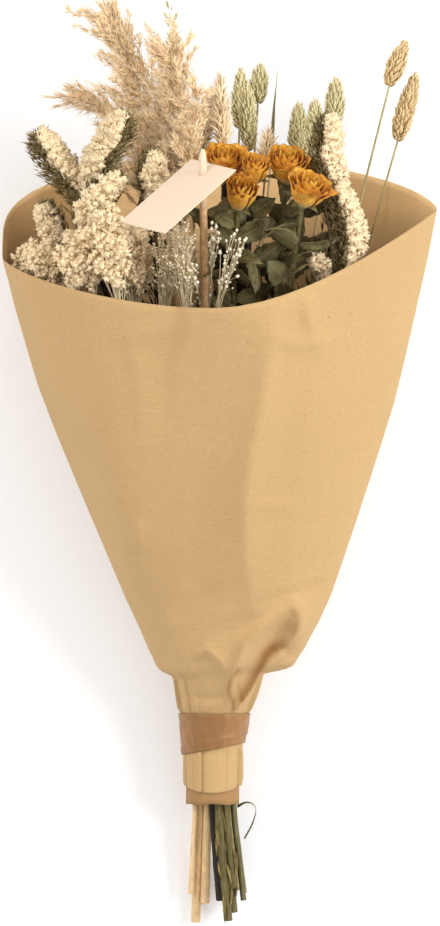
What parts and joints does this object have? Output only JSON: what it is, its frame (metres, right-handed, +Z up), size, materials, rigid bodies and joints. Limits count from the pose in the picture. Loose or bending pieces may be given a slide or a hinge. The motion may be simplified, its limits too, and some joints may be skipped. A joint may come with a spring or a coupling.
{
  "type": "dried flower bouquet",
  "caption": "Bunch of dried flowers and grasses bound at the neck in a cone of kraft paper, with a bare card on a pick, lying on its back.",
  "frame": {"origin": "middle of the underside of the whole bouquet as it lies", "axes": "+Z up; +Y along the bouquet, from the cut ends to the flowers; +X across it, to the right as seen from above"},
  "size_m": [0.2838, 0.601, 0.2212],
  "materials": {
    "reed_plume": "matte",
    "statice": "matte",
    "sea_lavender": "matte",
    "gypsophila": "matte",
    "broom_bloom": "matte",
    "canary_grass": "matte",
    "foxtail": "matte",
    "rose": "matte",
    "dry_grass": "matte",
    "twig": "matte",
    "kraft_paper": "matte",
    "paper_tape": "satin",
    "card": "satin",
    "wood": "matte",
    "dry_leaf": "matte"
  },
  "bodies": {
    "root": {"reed_plume_1": "reed_plume", "reed_plume_2": "reed_plume", "reed_plume_3": "reed_plume", "reed_plume_4": "reed_plume", "statice_1": "statice", "statice_2": "statice", "statice_3": "statice", "statice_4": "statice", "statice_5": "statice", "statice_6": "statice", "statice_7": "statice", "statice_8": "statice", "sea_lavender_1": "sea_lavender", "sea_lavender_2": "sea_lavender", "sea_lavender_3": "sea_lavender", "sea_lavender_4": "sea_lavender", "sea_lavender_5": "sea_lavender", "gypsophila_1": "gypsophila", "gypsophila_2": "gypsophila", "broom_bloom_1": "broom_bloom", "broom_bloom_2": "broom_bloom", "broom_bloom_3": "broom_bloom", "canary_grass_1": "canary_grass", "canary_grass_2": "canary_grass", "canary_grass_3": "canary_grass", "canary_grass_4": "canary_grass", "canary_grass_5": "canary_grass", "canary_grass_6": "canary_grass", "canary_grass_7": "canary_grass", "canary_grass_8": "canary_grass", "canary_grass_9": "canary_grass", "foxtail_1": "foxtail", "foxtail_2": "foxtail", "foxtail_3": "foxtail", "rose_1": "rose", "rose_2": "rose", "rose_3": "rose", "rose_4": "rose", "rose_5": "rose", "rose_6": "rose", "oat_grass": "dry_grass", "grass_blade": "dry_grass", "dry_twig": "twig", "paper_wrap": "kraft_paper", "neck_tape": "paper_tape", "stem_band": "paper_tape", "tag_pick": "wood", "tag_card": "card", "loop_leaf": "dry_leaf"}
  },
  "joints": []
}
